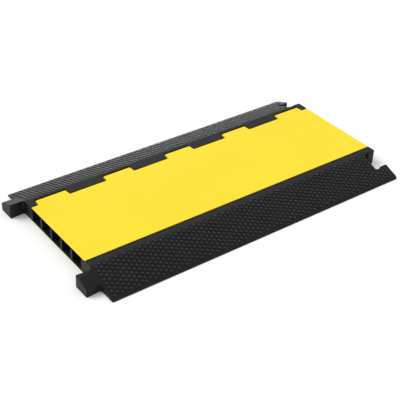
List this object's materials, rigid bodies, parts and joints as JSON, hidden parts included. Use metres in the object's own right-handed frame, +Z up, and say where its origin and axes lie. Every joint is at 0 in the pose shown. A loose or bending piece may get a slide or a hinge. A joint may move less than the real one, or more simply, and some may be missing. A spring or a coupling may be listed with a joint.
{
  "type": "cable protector ramp",
  "caption": "Modular cable protector ramp: a black moulded base with parallel channels, studded ramps and end connectors, and a flat yellow lid hinged along one side.",
  "frame": {"origin": "on the ground, under the middle of the base without its connectors", "axes": "+X along the channels from the male connectors to the female slots, +Y from the front ramp to the hinge side, +Z up from the ground"},
  "size_m": [0.939, 0.5, 0.04],
  "materials": {
    "base_rubber": "matt moulded black rubber",
    "lid_plastic": "satin moulded yellow plastic",
    "rod_steel": "drawn steel rod",
    "plug_rubber": "matt moulded black rubber"
  },
  "bodies": {
    "base": {"base_moulding": "base_rubber", "hinge_rod_left": "rod_steel", "hinge_rod_right": "rod_steel", "rod_plug_left": "plug_rubber", "rod_plug_right": "plug_rubber"},
    "lid": {"lid": "lid_plastic"}
  },
  "joints": [
    {"name": "lid_hinge", "type": "hinge", "parent": "base", "child": "lid", "pos_m": [0, 0.1325, 0.03], "axis": [-1, 0, 0], "range_deg": [0, 100]}
  ]
}
